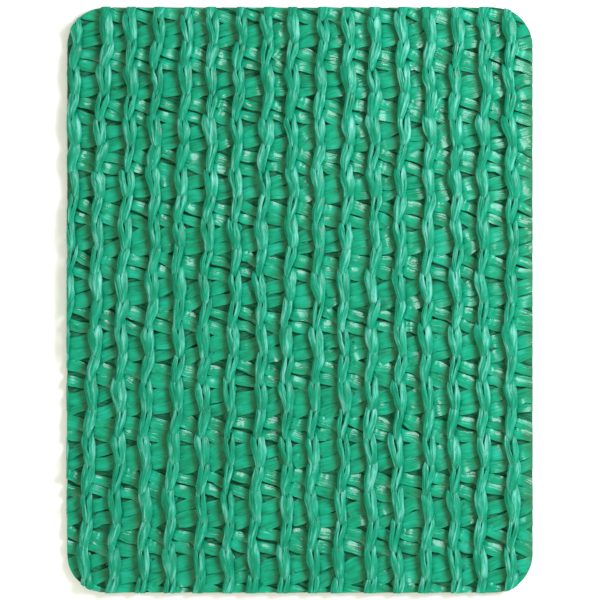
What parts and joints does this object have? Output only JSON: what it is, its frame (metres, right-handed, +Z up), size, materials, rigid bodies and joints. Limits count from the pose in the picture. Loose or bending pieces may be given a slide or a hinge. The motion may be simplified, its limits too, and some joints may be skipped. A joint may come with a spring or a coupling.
{
  "type": "shade cloth",
  "caption": "Flat cut length of green knitted shade cloth with raised chain-stitch ribs, laid-in flat tapes between them, and rounded corners.",
  "frame": {"origin": "middle of the underside, on the surface that the cloth lies on", "axes": "+X across the pillars to the right, +Y along the pillars, against the way their chain stitches point, +Z up out of the face"},
  "size_m": [0.0706, 0.0886, 0.0022],
  "materials": {
    "green_tape": "satin plastic tape, knitted"
  },
  "bodies": {
    "root": {"shade_cloth": "green_tape"}
  },
  "joints": []
}
